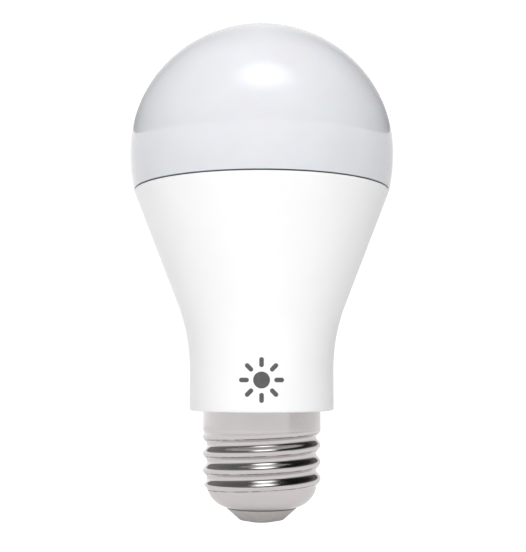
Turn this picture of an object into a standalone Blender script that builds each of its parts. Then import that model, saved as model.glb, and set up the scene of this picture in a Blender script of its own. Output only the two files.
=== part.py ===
"""Smart light bulb with an opal globe, a plastic-clad heat-sink and an E26 screw base.

Inside are the LED board, the radio board and the driver board with its parts.
Lengths are in millimetres up to the helpers, which turn them into metres. The frame's origin is the
lowest point of the centre contact, and +Z runs along the bulb's axis towards the globe.
"""

import math

import bmesh
import bpy
from mathutils import Vector

MM = 0.001
GAP = 0.3

# Globe: a sphere a little flattened above its widest circle and drawn out below it.
GLOBE_RADIUS = 29.6
GLOBE_CENTRE_Z = 81.7
GLOBE_UPPER_HEIGHT = 29.0
GLOBE_LOWER_HEIGHT = 33.9
GLOBE_WALL = 1.3

# Joint between globe and housing.
SEAM_Z = 73.12
SEAM_RADIUS = 28.6
SEAM_HALF_GAP = 0.2
SEAL_HALF_HEIGHT = 0.125
TONGUE_OUTER_RADIUS = 26.6
TONGUE_WALL = 1.2
TONGUE_DEPTH = 2.5

# Housing: cylinder neck, blend arc, straight cone.
HOUSING_WALL = 1.3
CONE_SLOPE = 0.39
NECK_RADIUS = 15.95
NECK_BOTTOM_Z = 24.3
NECK_EDGE_ROUNDING = 0.45
COLLAR_GROOVE_RADIUS = 13.35
COLLAR_GROOVE_DEPTH = 0.6
BLEND_RADIUS = 40.0
SPIGOT_RADIUS = 11.3
SPIGOT_WALL = 1.0
SPIGOT_BOTTOM_Z = 10.5

# Heat-sink cup, thermal pad and LED board.
CUP_WALL = 1.2
CUP_BOTTOM_Z = 50.0
CUP_RIM_Z = 69.9
PLATE_BOTTOM_Z = 66.0
PLATE_TOP_Z = 67.5
PAD_RADIUS = 22.0
PAD_THICKNESS = 0.5
LED_BOARD_RADIUS = 23.8
LED_BOARD_THICKNESS = 1.2
BOARD_SLOT = (17.0, 8.0)
BOARD_SCREW_CIRCLE = 21.0
BOARD_SCREW_COUNT = 3
SCREW_CLEARANCE_RADIUS = 1.5
WHITE_LED_COUNT = 12
WHITE_LED_CIRCLE = 16.5
WHITE_LED_SIZE = (3.5, 2.8, 0.7)
COLOUR_LED_COUNT = 4
COLOUR_LED_CIRCLE = 10.5
COLOUR_LED_SIZE = (3.2, 3.0, 0.9)

# E26 screw base: 26.1 mm over the crests, seven turns to the inch, right-handed.
THREAD_PITCH = 25.4 / 7
THREAD_CREST_RADIUS = 13.05
THREAD_DEPTH = 0.95
THREAD_CREST_Z = 16.57
THREAD_FULL_Z = (8.6, 18.6)
THREAD_FADE_Z = (7.0, 20.4)
SHELL_TOP_Z = 24.6
SHELL_WALL = 0.5
BOWL_CENTRE = (6.47, 8.89)
BOWL_RADIUS = 5.83
BOWL_ANGLES = (-18.0, -74.0)
INSULATOR_TOP_Z = 6.0
INSULATOR_BOTTOM_Z = 0.5
CONTACT_RADIUS = 4.2
CONTACT_HEIGHT = 0.7

# Radio board, standing in the slot of the LED board.
RADIO_BOARD_SIZE = (14.0, 1.0, 27.0)
RADIO_BOARD_BOTTOM_Z = 58.5

# Driver board, standing in the neck.
DRIVER_BOARD_Y = 3.0
DRIVER_BOARD_THICKNESS = 1.2
DRIVER_BOARD_BOTTOM_Z = 12.0
DRIVER_BOARD_SHOULDER_Z = 27.0
DRIVER_BOARD_TOP_Z = 60.0
DRIVER_BOARD_HALF_WIDTHS = (8.6, 13.0)
LEAD_RADIUS = 0.55

MATERIALS = {
    # name: (colour, roughness, metallic)
    "opal_plastic": ((0.90, 0.91, 0.93), 0.35, 0.0),
    "white_plastic": ((0.93, 0.93, 0.93), 0.30, 0.0),
    "seal_rubber": ((0.10, 0.10, 0.11), 0.70, 0.0),
    "nickel_plate": ((0.62, 0.58, 0.57), 0.25, 1.0),
    "grey_insulator": ((0.40, 0.40, 0.41), 0.45, 0.0),
    "contact_brass": ((0.66, 0.63, 0.56), 0.35, 1.0),
    "cast_aluminium": ((0.78, 0.79, 0.80), 0.40, 1.0),
    "silicone_pad": ((0.55, 0.60, 0.66), 0.80, 0.0),
    "white_solder_mask": ((0.92, 0.93, 0.92), 0.45, 0.0),
    "green_solder_mask": ((0.03, 0.22, 0.10), 0.40, 0.0),
    "led_body": ((0.90, 0.82, 0.45), 0.40, 0.0),
    "colour_led_body": ((0.85, 0.86, 0.86), 0.35, 0.0),
    "zinc_steel": ((0.70, 0.71, 0.73), 0.35, 1.0),
    "tinned_steel": ((0.75, 0.75, 0.74), 0.30, 1.0),
    "black_plastic": ((0.03, 0.03, 0.03), 0.50, 0.0),
    "capacitor_sleeve": ((0.05, 0.06, 0.09), 0.35, 0.0),
    "film_yellow": ((0.80, 0.55, 0.08), 0.45, 0.0),
    "varistor_blue": ((0.05, 0.16, 0.42), 0.40, 0.0),
    "ferrite": ((0.09, 0.09, 0.10), 0.60, 0.0),
    "winding_tape": ((0.75, 0.55, 0.10), 0.40, 0.0),
    "copper_wire": ((0.72, 0.36, 0.20), 0.35, 1.0),
    "resistor_sleeve": ((0.86, 0.84, 0.78), 0.75, 0.0),
    "lead_insulation_black": ((0.04, 0.04, 0.04), 0.50, 0.0),
    "lead_insulation_white": ((0.85, 0.85, 0.84), 0.50, 0.0),
}


# ---------------------------------------------------------------- helpers


def clear_scene():
    for obj in list(bpy.data.objects):
        bpy.data.objects.remove(obj, do_unlink=True)


def material(name):
    found = bpy.data.materials.get(name)
    if found:
        return found
    colour, roughness, metallic = MATERIALS[name]
    made = bpy.data.materials.new(name)
    made.use_nodes = True
    shader = made.node_tree.nodes["Principled BSDF"]
    shader.inputs["Base Color"].default_value = (*colour, 1.0)
    shader.inputs["Roughness"].default_value = roughness
    shader.inputs["Metallic"].default_value = metallic
    return made


def add_object(name, mesh_builder, material_name, at=(0, 0, 0), turn=(0, 0, 0)):
    """Makes an object from a bmesh that is in millimetres, and places it."""
    for vert in mesh_builder.verts:
        vert.co *= MM
    bmesh.ops.recalc_face_normals(mesh_builder, faces=mesh_builder.faces)
    mesh = bpy.data.meshes.new(name)
    mesh_builder.to_mesh(mesh)
    mesh_builder.free()
    mesh.shade_smooth()
    mesh.set_sharp_from_angle(angle=math.radians(35))
    mesh.materials.append(material(material_name))
    obj = bpy.data.objects.new(name, mesh)
    obj.location = Vector(at) * MM
    obj.rotation_euler = [math.radians(angle) for angle in turn]
    bpy.context.collection.objects.link(obj)
    return obj


def arc(centre, radius, start, end, count):
    """Points (r, z) on a circle, from one angle in degrees to another."""
    points = []
    for step in range(count + 1):
        angle = math.radians(start + (end - start) * step / count)
        points.append((centre[0] + radius * math.cos(angle), centre[1] + radius * math.sin(angle)))
    return points


def turned(name, outline, material_name, steps=48, at=(0, 0, 0), turn=(0, 0, 0)):
    """Spins an outline of (r, z) points round Z. It is closed, or it starts and ends on the axis."""
    bm = bmesh.new()
    verts = [bm.verts.new((r, 0, z)) for r, z in outline]
    on_axis = outline[0][0] == 0 and outline[-1][0] == 0
    ends = verts[1:] if on_axis else verts[1:] + verts[:1]
    edges = [bm.edges.new(pair) for pair in zip(verts, ends)]
    bmesh.ops.spin(
        bm, geom=verts + edges, cent=(0, 0, 0), axis=(0, 0, 1), angle=math.tau, steps=steps, use_merge=True
    )
    bmesh.ops.remove_doubles(bm, verts=bm.verts, dist=0.0005)
    return add_object(name, bm, material_name, at, turn)


def box(name, size, material_name, at=(0, 0, 0), turn=(0, 0, 0), bevel=0.0):
    bm = bmesh.new()
    bmesh.ops.create_cube(bm, size=1)
    bmesh.ops.scale(bm, vec=size, verts=bm.verts)
    if bevel:
        bmesh.ops.bevel(bm, geom=bm.edges, offset=bevel, segments=1, affect="EDGES")
    return add_object(name, bm, material_name, at, turn)


def extruded(name, outline, depth, material_name, at=(0, 0, 0)):
    """An outline of (x, z) points, extruded along Y to both sides of y = 0."""
    bm = bmesh.new()
    face = bm.faces.new([bm.verts.new((x, -depth / 2, z)) for x, z in outline])
    moved = bmesh.ops.extrude_face_region(bm, geom=[face])["geom"]
    far_verts = [item for item in moved if isinstance(item, bmesh.types.BMVert)]
    bmesh.ops.translate(bm, vec=(0, depth, 0), verts=far_verts)
    return add_object(name, bm, material_name, at)


def wire(name, points, radius, material_name):
    """A round wire on a smooth curve through the points."""
    curve = bpy.data.curves.new(name, "CURVE")
    curve.dimensions = "3D"
    curve.bevel_depth = radius * MM
    curve.bevel_resolution = 2
    curve.use_fill_caps = True
    smooth = smooth_path([Vector(p) for p in points], 4)
    spline = curve.splines.new("POLY")
    spline.points.add(len(smooth) - 1)
    for target, point in zip(spline.points, smooth):
        target.co = (*(point * MM), 1.0)
    curve.materials.append(material(material_name))
    obj = bpy.data.objects.new(name, curve)
    bpy.context.collection.objects.link(obj)
    return obj


def smooth_path(points, per_span):
    """A Catmull-Rom curve through the points."""
    padded = [2 * points[0] - points[1], *points, 2 * points[-1] - points[-2]]
    path = []
    for a, b, c, d in zip(padded, padded[1:], padded[2:], padded[3:]):
        for step in range(per_span):
            t = step / per_span
            square = (2 * a - 5 * b + 4 * c - d) * t**2
            cube = (3 * b - a - 3 * c + d) * t**3
            path.append(0.5 * (2 * b + (c - a) * t + square + cube))
    path.append(points[-1])
    return path


def helper_only(obj):
    obj.hide_render = True
    obj.display_type = "WIRE"
    return obj


def combine(target, helpers, operation):
    """Adds one Boolean to the target for each helper, and hides the helpers."""
    for helper in helpers:
        helper_only(helper)
        modifier = target.modifiers.new(operation.title(), "BOOLEAN")
        modifier.operation = operation
        modifier.solver = "EXACT"
        modifier.object = helper
    return target


def on_circle(radius, index, count, z, first=0.0):
    angle = math.radians(first) + math.tau * index / count
    return (radius * math.cos(angle), radius * math.sin(angle), z)


# ---------------------------------------------------------------- outlines


def globe_arc(offset, lowest_z, rings):
    """The globe's outline from the lowest ring up to the pole."""
    lowest = math.asin((lowest_z - GLOBE_CENTRE_Z) / (GLOBE_LOWER_HEIGHT - offset))
    points = []
    for ring in range(rings + 1):
        angle = lowest + (math.pi / 2 - lowest) * ring / rings
        height = GLOBE_UPPER_HEIGHT if angle > 0 else GLOBE_LOWER_HEIGHT
        z = GLOBE_CENTRE_Z + (height - offset) * math.sin(angle)
        points.append(((GLOBE_RADIUS - offset) * math.cos(angle) if ring < rings else 0.0, z))
    return points


def housing_outline(offset, lowest_z, highest_z, blend_steps):
    """The housing's outside from the neck up to the seam, moved inwards by offset."""
    tilt = math.atan(CONE_SLOPE)
    cone_base = SEAM_RADIUS - CONE_SLOPE * SEAM_Z - offset / math.cos(tilt)
    neck = NECK_RADIUS - offset
    corner_z = (neck - cone_base) / CONE_SLOPE
    tangent = (BLEND_RADIUS + offset) * math.tan(tilt / 2)
    centre = (neck + BLEND_RADIUS + offset, corner_z - tangent)
    blend = arc(centre, BLEND_RADIUS + offset, 180, 180 - math.degrees(tilt), blend_steps)
    return [(neck, lowest_z), *blend, (cone_base + CONE_SLOPE * highest_z, highest_z)]


def thread_share(z):
    """How deep the thread is at a height: 1 in the middle, fading to 0 into the collar and the bowl."""
    low_fade, high_fade = THREAD_FADE_Z
    low_full, high_full = THREAD_FULL_Z
    rise = min(max((z - low_fade) / (low_full - low_fade), 0.0), 1.0)
    fall = min(max((high_fade - z) / (high_fade - high_full), 0.0), 1.0)
    share = min(rise, fall)
    return share * share * (3 - 2 * share)


def thread_radius(angle, z):
    """Radius of the shell's outside. The crest climbs one pitch in each turn to the left."""
    turns = (z - THREAD_CREST_Z) / THREAD_PITCH - angle / math.tau
    wave = 0.5 - 0.5 * math.cos(math.tau * turns)
    base = THREAD_CREST_RADIUS
    if z < THREAD_FULL_Z[0]:
        bowl_top = BOWL_CENTRE[0] + BOWL_RADIUS * math.cos(math.radians(BOWL_ANGLES[0]))
        share = (THREAD_FULL_Z[0] - z) / (THREAD_FULL_Z[0] - THREAD_FADE_Z[0])
        base -= (THREAD_CREST_RADIUS - bowl_top) * min(share, 1.0)
    return base - THREAD_DEPTH * thread_share(z) * wave


# ---------------------------------------------------------------- outer shells


def make_globe():
    lip_z = SEAM_Z + SEAM_HALF_GAP
    tongue_inner = TONGUE_OUTER_RADIUS - TONGUE_WALL
    tongue_bottom = lip_z - TONGUE_DEPTH
    outside = globe_arc(0.0, lip_z, 14)
    inside = globe_arc(GLOBE_WALL, lip_z + 1.5, 8)
    outline = list(reversed(outside))
    outline += [(TONGUE_OUTER_RADIUS, lip_z), (TONGUE_OUTER_RADIUS, tongue_bottom)]
    outline += [(tongue_inner, tongue_bottom), (tongue_inner, lip_z + 0.6)]
    outline += inside
    turned("globe_diffuser", outline, "opal_plastic")


def make_seal():
    top = SEAM_Z + SEAL_HALF_HEIGHT
    bottom = SEAM_Z - SEAL_HALF_HEIGHT
    outline = [(27.2, top), (28.2, top), (28.3, SEAM_Z), (28.2, bottom), (27.2, bottom)]
    turned("globe_seal", outline, "seal_rubber")


def make_housing():
    lip_z = SEAM_Z - SEAM_HALF_GAP
    bore = TONGUE_OUTER_RADIUS + GAP
    ledge_z = SEAM_Z + SEAM_HALF_GAP - TONGUE_DEPTH - GAP
    neck_floor_z = NECK_BOTTOM_Z + HOUSING_WALL
    outside = housing_outline(0.0, NECK_BOTTOM_Z + NECK_EDGE_ROUNDING, lip_z, 7)
    inside = housing_outline(HOUSING_WALL, neck_floor_z, ledge_z, 3)
    edge_centre = (NECK_RADIUS - NECK_EDGE_ROUNDING, NECK_BOTTOM_Z + NECK_EDGE_ROUNDING)
    edge = arc(edge_centre, NECK_EDGE_ROUNDING, -90, -30, 2)
    spigot_inner = SPIGOT_RADIUS - SPIGOT_WALL
    outline = [(spigot_inner, SPIGOT_BOTTOM_Z), (SPIGOT_RADIUS, SPIGOT_BOTTOM_Z)]
    groove_z = NECK_BOTTOM_Z + COLLAR_GROOVE_DEPTH
    outline += [(SPIGOT_RADIUS, groove_z), (COLLAR_GROOVE_RADIUS, groove_z)]
    outline += [(COLLAR_GROOVE_RADIUS, NECK_BOTTOM_Z), *edge, *outside]
    outline += [(bore, lip_z), (bore, ledge_z), *reversed(inside), (spigot_inner, neck_floor_z)]
    turned("housing_shell", outline, "white_plastic")


def make_screw_shell():
    columns = 36
    outer_heights = [SHELL_TOP_Z, 20.8]
    step = THREAD_PITCH / 8
    while outer_heights[-1] - step > THREAD_FADE_Z[0]:
        outer_heights.append(outer_heights[-1] - step)
    bowl = arc(BOWL_CENTRE, BOWL_RADIUS, *BOWL_ANGLES, 5)
    inner_radius = THREAD_CREST_RADIUS - THREAD_DEPTH - SHELL_WALL
    inner_bowl = arc(BOWL_CENTRE, BOWL_RADIUS - SHELL_WALL, BOWL_ANGLES[1], -25.0, 3)
    inside = [*inner_bowl, (inner_radius, 8.0), (inner_radius, SHELL_TOP_Z)]

    bm = bmesh.new()
    rings = []
    for z in outer_heights:
        rings.append([ring_vert(bm, thread_radius(a, z), a, z) for a in ring_angles(columns)])
    for radius, z in bowl + inside:
        rings.append([ring_vert(bm, radius, a, z) for a in ring_angles(columns)])
    for ring, following in zip(rings, rings[1:] + rings[:1]):
        for index in range(columns):
            after = (index + 1) % columns
            bm.faces.new((ring[index], ring[after], following[after], following[index]))
    add_object("screw_shell", bm, "nickel_plate")


def ring_angles(columns):
    return [math.tau * index / columns for index in range(columns)]


def ring_vert(bm, radius, angle, z):
    return bm.verts.new((radius * math.cos(angle), radius * math.sin(angle), z))


def make_insulator():
    outline = [
        (1.5, INSULATOR_TOP_Z), (9.0, INSULATOR_TOP_Z), (9.0, 4.6), (7.6, 4.6), (7.65, 3.15),
        (5.15, INSULATOR_BOTTOM_Z + 0.15), (5.0, INSULATOR_BOTTOM_Z),
        (CONTACT_RADIUS + GAP, INSULATOR_BOTTOM_Z), (CONTACT_RADIUS + GAP, CONTACT_HEIGHT + GAP),
        (1.5, CONTACT_HEIGHT + GAP),
    ]
    turned("base_insulator", outline, "grey_insulator", steps=40)


def make_contact():
    stem_radius = 1.2
    outline = [
        (0.0, 7.0), (stem_radius, 7.0), (stem_radius, CONTACT_HEIGHT), (CONTACT_RADIUS, CONTACT_HEIGHT),
        (CONTACT_RADIUS, 0.5), (3.6, 0.22), (2.8, 0.06), (1.8, 0.0), (0.0, 0.0),
    ]
    turned("centre_contact", outline, "contact_brass", steps=32)


# ---------------------------------------------------------------- heat-sink and LED board


def slot_and_screw_cutters(label, z):
    """One cutter for the slot in the middle, and one for each screw hole."""
    cutters = [box(f"{label}_slot_cutter", (*BOARD_SLOT, 12), "black_plastic", (0, 0, z))]
    hole = [(0.0, -6.0), (SCREW_CLEARANCE_RADIUS, -6.0), (SCREW_CLEARANCE_RADIUS, 6.0), (0.0, 6.0)]
    for index in range(BOARD_SCREW_COUNT):
        place = on_circle(BOARD_SCREW_CIRCLE, index, BOARD_SCREW_COUNT, z, 90)
        cutters.append(turned(f"{label}_hole_cutter_{index + 1}", hole, "black_plastic", 16, place))
    return cutters


def make_heatsink_cup():
    clearance = HOUSING_WALL + 0.35
    rim_inner = LED_BOARD_RADIUS + 0.6
    outside = housing_outline(clearance, CUP_BOTTOM_Z, CUP_RIM_Z, 1)[-1]
    outer_bottom = outside[0] - CONE_SLOPE * (CUP_RIM_Z - CUP_BOTTOM_Z)
    inner_top = outside[0] - CONE_SLOPE * (CUP_RIM_Z - PLATE_BOTTOM_Z) - CUP_WALL
    outline = [
        (0.0, PLATE_TOP_Z), (rim_inner, PLATE_TOP_Z), (rim_inner, CUP_RIM_Z), outside,
        (outer_bottom, CUP_BOTTOM_Z), (outer_bottom - CUP_WALL, CUP_BOTTOM_Z),
        (inner_top, PLATE_BOTTOM_Z), (0.0, PLATE_BOTTOM_Z),
    ]
    cup = turned("heatsink_cup", outline, "cast_aluminium", steps=40)
    combine(cup, slot_and_screw_cutters("cup", PLATE_BOTTOM_Z), "DIFFERENCE")


def disc_outline(radius, bottom, top):
    return [(0.0, bottom), (radius, bottom), (radius, top), (0.0, top)]


def make_thermal_pad():
    bottom = PLATE_TOP_Z + GAP
    outline = disc_outline(PAD_RADIUS, bottom, bottom + PAD_THICKNESS)
    pad = turned("thermal_pad", outline, "silicone_pad", 40)
    combine(pad, slot_and_screw_cutters("pad", bottom), "DIFFERENCE")


def led_board_bottom():
    return PLATE_TOP_Z + PAD_THICKNESS + 2 * GAP


def led_board_top():
    return led_board_bottom() + LED_BOARD_THICKNESS


def make_led_board():
    outline = disc_outline(LED_BOARD_RADIUS, led_board_bottom(), led_board_top())
    board = turned("led_board", outline, "white_solder_mask", 40)
    combine(board, slot_and_screw_cutters("board", led_board_bottom()), "DIFFERENCE")


def led_package(name, size, material_name, place, facing):
    """A box with a shallow window sunk in its top."""
    width, depth, height = size
    bm = bmesh.new()
    bmesh.ops.create_cube(bm, size=1)
    bmesh.ops.scale(bm, vec=size, verts=bm.verts)
    bmesh.ops.translate(bm, vec=(0, 0, height / 2), verts=bm.verts)
    top = max(bm.faces, key=lambda face: face.calc_center_median().z)
    bmesh.ops.inset_region(bm, faces=[top], thickness=min(width, depth) * 0.16, depth=0)
    bmesh.ops.translate(bm, vec=(0, 0, -0.12), verts=top.verts)
    add_object(name, bm, material_name, place, (0, 0, facing))


def make_leds():
    z = led_board_top() + GAP
    for index in range(WHITE_LED_COUNT):
        place = on_circle(WHITE_LED_CIRCLE, index, WHITE_LED_COUNT, z)
        facing = 360 * index / WHITE_LED_COUNT
        led_package(f"white_led_{index + 1:02d}", WHITE_LED_SIZE, "led_body", place, facing)
    for index in range(COLOUR_LED_COUNT):
        place = on_circle(COLOUR_LED_CIRCLE, index, COLOUR_LED_COUNT, z, 45)
        facing = 45 + 360 * index / COLOUR_LED_COUNT
        led_package(f"colour_led_{index + 1}", COLOUR_LED_SIZE, "colour_led_body", place, facing)


def make_board_screws():
    """Pan-head screws with a straight slot, through the board and the cup's plate."""
    head_z = led_board_top() + GAP
    shank = 5.2
    outline = [
        (0.0, -shank), (0.7, -shank), (1.1, -shank + 0.6), (1.1, 0.0), (2.2, 0.0), (2.2, 0.6),
        (1.8, 1.1), (1.0, 1.3), (0.0, 1.35),
    ]
    for index in range(BOARD_SCREW_COUNT):
        place = on_circle(BOARD_SCREW_CIRCLE, index, BOARD_SCREW_COUNT, head_z, 90)
        screw = turned(f"board_screw_{index + 1}", outline, "zinc_steel", 16, place)
        x, y, z = place
        slot_at = (x, y, z + 1.3)
        driver_slot = box(f"screw_slot_cutter_{index + 1}", (6, 0.5, 1.0), "black_plastic", slot_at)
        combine(screw, [driver_slot], "DIFFERENCE")


# ---------------------------------------------------------------- radio


def make_radio():
    width, thickness, height = RADIO_BOARD_SIZE
    front = -thickness / 2 - GAP
    board_at = (0, 0, RADIO_BOARD_BOTTOM_Z + height / 2)
    box("radio_board", RADIO_BOARD_SIZE, "green_solder_mask", board_at)
    can = (10.0, 1.5, 8.0)
    box("radio_shield_can", can, "tinned_steel", (0, front - can[1] / 2, 75.5), bevel=0.25)
    top = RADIO_BOARD_BOTTOM_Z + height - 0.8
    trace = meander(width - 3.0, 4.4, 3, 0.5, top)
    extruded("antenna", trace, 0.15, "copper_wire", (0, front - 0.08, 0))
    header = (10.0, 1.2, 2.5)
    header_y = thickness / 2 + GAP + header[1] / 2
    box("radio_header", header, "black_plastic", (0, header_y, RADIO_BOARD_BOTTOM_Z + 0.8), bevel=0.15)


def meander(width, height, folds, trace, top):
    """One strip folded up and down across the width, as a closed outline of (x, z) points."""
    columns = 2 * folds
    pitch = (width - trace) / (columns - 1)
    upper = []
    lower = []
    for column in range(columns):
        left = -width / 2 + pitch * column
        right = left + trace
        if column % 2 == 0:
            upper += [(left, top), (right + pitch, top)]
            lower += [(left, top - height), (right, top - height)]
            lower += [(right, top - trace), (left + pitch, top - trace)]
        elif column < columns - 1:
            upper += [(right, top - height + trace), (left + pitch, top - height + trace)]
            lower += [(left, top - height), (right + pitch, top - height)]
        else:
            lower += [(left, top - height), (right, top - height)]
    return dedupe(upper + list(reversed(lower)))


def dedupe(points):
    kept = []
    for point in points:
        if not kept or math.dist(kept[-1], point) > 1e-6:
            kept.append(point)
    return kept


# ---------------------------------------------------------------- driver board


def board_face(side):
    """The y of the plane on which a component stands: side -1 is the front, 1 the back."""
    return DRIVER_BOARD_Y + side * (DRIVER_BOARD_THICKNESS / 2 + GAP)


def make_driver_board():
    narrow, wide = DRIVER_BOARD_HALF_WIDTHS
    shoulder = DRIVER_BOARD_SHOULDER_Z
    outline = [
        (-narrow, DRIVER_BOARD_BOTTOM_Z), (narrow, DRIVER_BOARD_BOTTOM_Z), (narrow, shoulder),
        (wide, shoulder), (wide, DRIVER_BOARD_TOP_Z), (-wide, DRIVER_BOARD_TOP_Z),
        (-wide, shoulder), (-narrow, shoulder),
    ]
    extruded("driver_board", outline, DRIVER_BOARD_THICKNESS, "green_solder_mask", (0, DRIVER_BOARD_Y, 0))


def electrolytic(name, radius, length, place):
    """A can with a crimp near its foot and a rounded shoulder, standing along Z."""
    outline = [
        (0.0, 0.0), (radius - 0.3, 0.0), (radius, 0.3), (radius, 1.4), (radius - 0.4, 1.9),
        (radius, 2.4), (radius, length - 0.5), (radius - 0.5, length), (radius - 1.0, length),
        (radius - 1.1, length - 0.2), (0.0, length - 0.2),
    ]
    turned(name, outline, "capacitor_sleeve", 24, place)


def make_transformer():
    centre = Vector((0.0, board_face(-1) - 6.2, 51.0))
    leg = (4.0, 5.0)
    window = (3.3, 9.6)
    yoke = 2.0
    core_width = leg[0] + 2 * window[0] + 2 * yoke
    core_height = window[1] + 2 * yoke
    core = box("transformer_core", (core_width, leg[1], core_height), "ferrite", centre)
    window_x = (leg[0] + window[0]) / 2
    cutters = []
    for index, x in enumerate((-window_x, window_x)):
        window_at = centre + Vector((x, 0, 0))
        window_size = (window[0], 20, window[1])
        cutters.append(box(f"core_window_cutter_{index + 1}", window_size, "ferrite", window_at))
    combine(core, cutters, "DIFFERENCE")

    flange = (leg[0] + 2 * window[0] - 2 * GAP, 11.6, window[1] - 2 * GAP)
    hole = (leg[0] + 2 * GAP, leg[1] + 2 * GAP)
    tube = (hole[0] + 1.0, hole[1] + 1.0)
    groove_height = flange[2] - 1.6
    bobbin = box("transformer_bobbin", flange, "black_plastic", centre)
    far_out = (20, 20)
    groove = frame_box("bobbin_groove_cutter", far_out, tube, groove_height, "black_plastic", centre)
    leg_hole = box("bobbin_hole_cutter", (*hole, 20), "black_plastic", centre)
    combine(bobbin, [groove, leg_hole], "DIFFERENCE")
    inner = (tube[0] + 2 * GAP, tube[1] + 2 * GAP)
    outer = (inner[0] + 1.8, inner[1] + 3.2)
    frame_box("transformer_winding", outer, inner, groove_height - 2 * GAP, "winding_tape", centre)


def frame_box(name, outer, inner, height, material_name, place):
    """A rectangular tube along Z."""
    bm = bmesh.new()
    rings = []
    for width, depth in (outer, inner):
        for z in (-height / 2, height / 2):
            corners = [(-1, -1), (1, -1), (1, 1), (-1, 1)]
            rings.append([bm.verts.new((x * width / 2, y * depth / 2, z)) for x, y in corners])
    outer_low, outer_high, inner_low, inner_high = rings
    loop = [outer_low, outer_high, inner_high, inner_low]
    for ring, other in zip(loop, loop[1:] + loop[:1]):
        for index in range(4):
            after = (index + 1) % 4
            bm.faces.new((ring[index], ring[after], other[after], other[index]))
    return add_object(name, bm, material_name, place)


def chip(name, size, leg_count, side, x, z):
    """A flat moulded package with legs along its two long edges, lying on a face of the driver board."""
    width, thickness, height = size
    y = board_face(side) + side * thickness / 2
    body = box(name, size, "black_plastic", (x, y, z), bevel=0.15)
    legs = []
    for index in range(leg_count):
        leg_z = z + height * ((index + 0.5) / leg_count - 0.5)
        leg_y = board_face(side) + side * 0.2
        place = (x, leg_y, leg_z)
        legs.append(box(f"{name}_leg_{index + 1}", (width + 2.0, 0.3, 0.45), "tinned_steel", place))
    combine(body, legs, "UNION")


def make_driver_parts():
    front = board_face(-1)
    back = board_face(1)
    electrolytic("input_capacitor", 5.0, 14.5, (-6.4, front - 5.2, 27.4))
    electrolytic("output_capacitor", 4.0, 11.0, (5.2, back + 4.2, 44.0))
    make_transformer()
    box("film_capacitor", (5.0, 6.0, 11.0), "film_yellow", (7.4, front - 3.2, 34.0), bevel=0.5)
    drum = [
        (0.0, 0.0), (3.2, 0.0), (3.2, 1.0), (2.8, 1.1), (2.8, 5.9), (3.2, 6.0), (3.2, 7.0), (0.0, 7.0),
    ]
    turned("filter_inductor", drum, "ferrite", 20, (4.2, front - 3.6, 14.2))
    disc = [(0.0, -1.6), (3.0, -1.6), (3.7, -0.8), (3.7, 0.8), (3.0, 1.6), (0.0, 1.6)]
    turned("varistor", disc, "varistor_blue", 24, (-5.6, back + 2.0, 32.0), (90, 0, 0))
    resistor = [
        (0.0, 0.0), (0.5, 0.0), (0.5, 1.0), (1.5, 1.5), (1.7, 2.3), (1.7, 7.7), (1.5, 8.5),
        (0.5, 9.0), (0.5, 10.0), (0.0, 10.0),
    ]
    turned("fusible_resistor", resistor, "resistor_sleeve", 16, (-4.5, front - 2.1, 13.4))
    chip("bridge_rectifier", (4.6, 1.6, 4.8), 2, 1, 0.0, 19.0)
    chip("driver_chip", (3.9, 1.5, 4.9), 4, 1, -5.0, 42.5)
    chip("radio_supply_chip", (1.7, 1.1, 2.9), 3, 1, -6.0, 54.5)
    chip("output_rectifier", (2.6, 1.9, 4.3), 1, 1, 6.5, 38.6)


def make_leads():
    front = board_face(-1)
    to_contact = [(0, 0, 7.5), (-0.4, -0.4, 9.0), (-3.6, 0.1, 11.6), (-4.5, front - 2.1, 12.9)]
    wire("line_lead", to_contact, LEAD_RADIUS, "lead_insulation_black")
    to_shell = [(4.6, 0.9, 13.5), (4.9, 0.8, 11.0), (6.8, 0.6, 9.2), (10.4, 0.3, 8.6)]
    wire("neutral_lead", to_shell, LEAD_RADIUS, "lead_insulation_white")


def make_board_link():
    """Two pins rise from the driver board through the slot into a socket that overhangs it."""
    socket_bottom = led_board_top() + GAP
    socket_size = (7.0, 4.6, 2.6)
    socket_at = (0, DRIVER_BOARD_Y + 0.7, socket_bottom + socket_size[2] / 2)
    socket = box("supply_socket", socket_size, "black_plastic", socket_at, bevel=0.2)
    pin_width = 0.64
    pin_bottom = DRIVER_BOARD_TOP_Z + GAP
    pin_length = socket_bottom + 2.0 - pin_bottom
    holes = []
    for index, x in enumerate((-1.3, 1.3)):
        pin_at = (x, DRIVER_BOARD_Y, pin_bottom + pin_length / 2)
        pin_size = (pin_width, pin_width, pin_length)
        box(f"supply_pin_{index + 1}", pin_size, "tinned_steel", pin_at, bevel=0.1)
        hole_width = pin_width + 2 * GAP
        hole_size = (hole_width, hole_width, 8)
        hole_at = (x, DRIVER_BOARD_Y, socket_bottom)
        holes.append(box(f"pin_hole_cutter_{index + 1}", hole_size, "black_plastic", hole_at))
    combine(socket, holes, "DIFFERENCE")


# ---------------------------------------------------------------- assembly

clear_scene()
make_globe()
make_seal()
make_housing()
make_screw_shell()
make_insulator()
make_contact()
make_heatsink_cup()
make_thermal_pad()
make_led_board()
make_leds()
make_board_screws()
make_radio()
make_driver_board()
make_driver_parts()
make_leads()
make_board_link()
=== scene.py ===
"""Looks of the smart light bulb: fine surfaces, materials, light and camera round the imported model."""

import math

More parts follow.
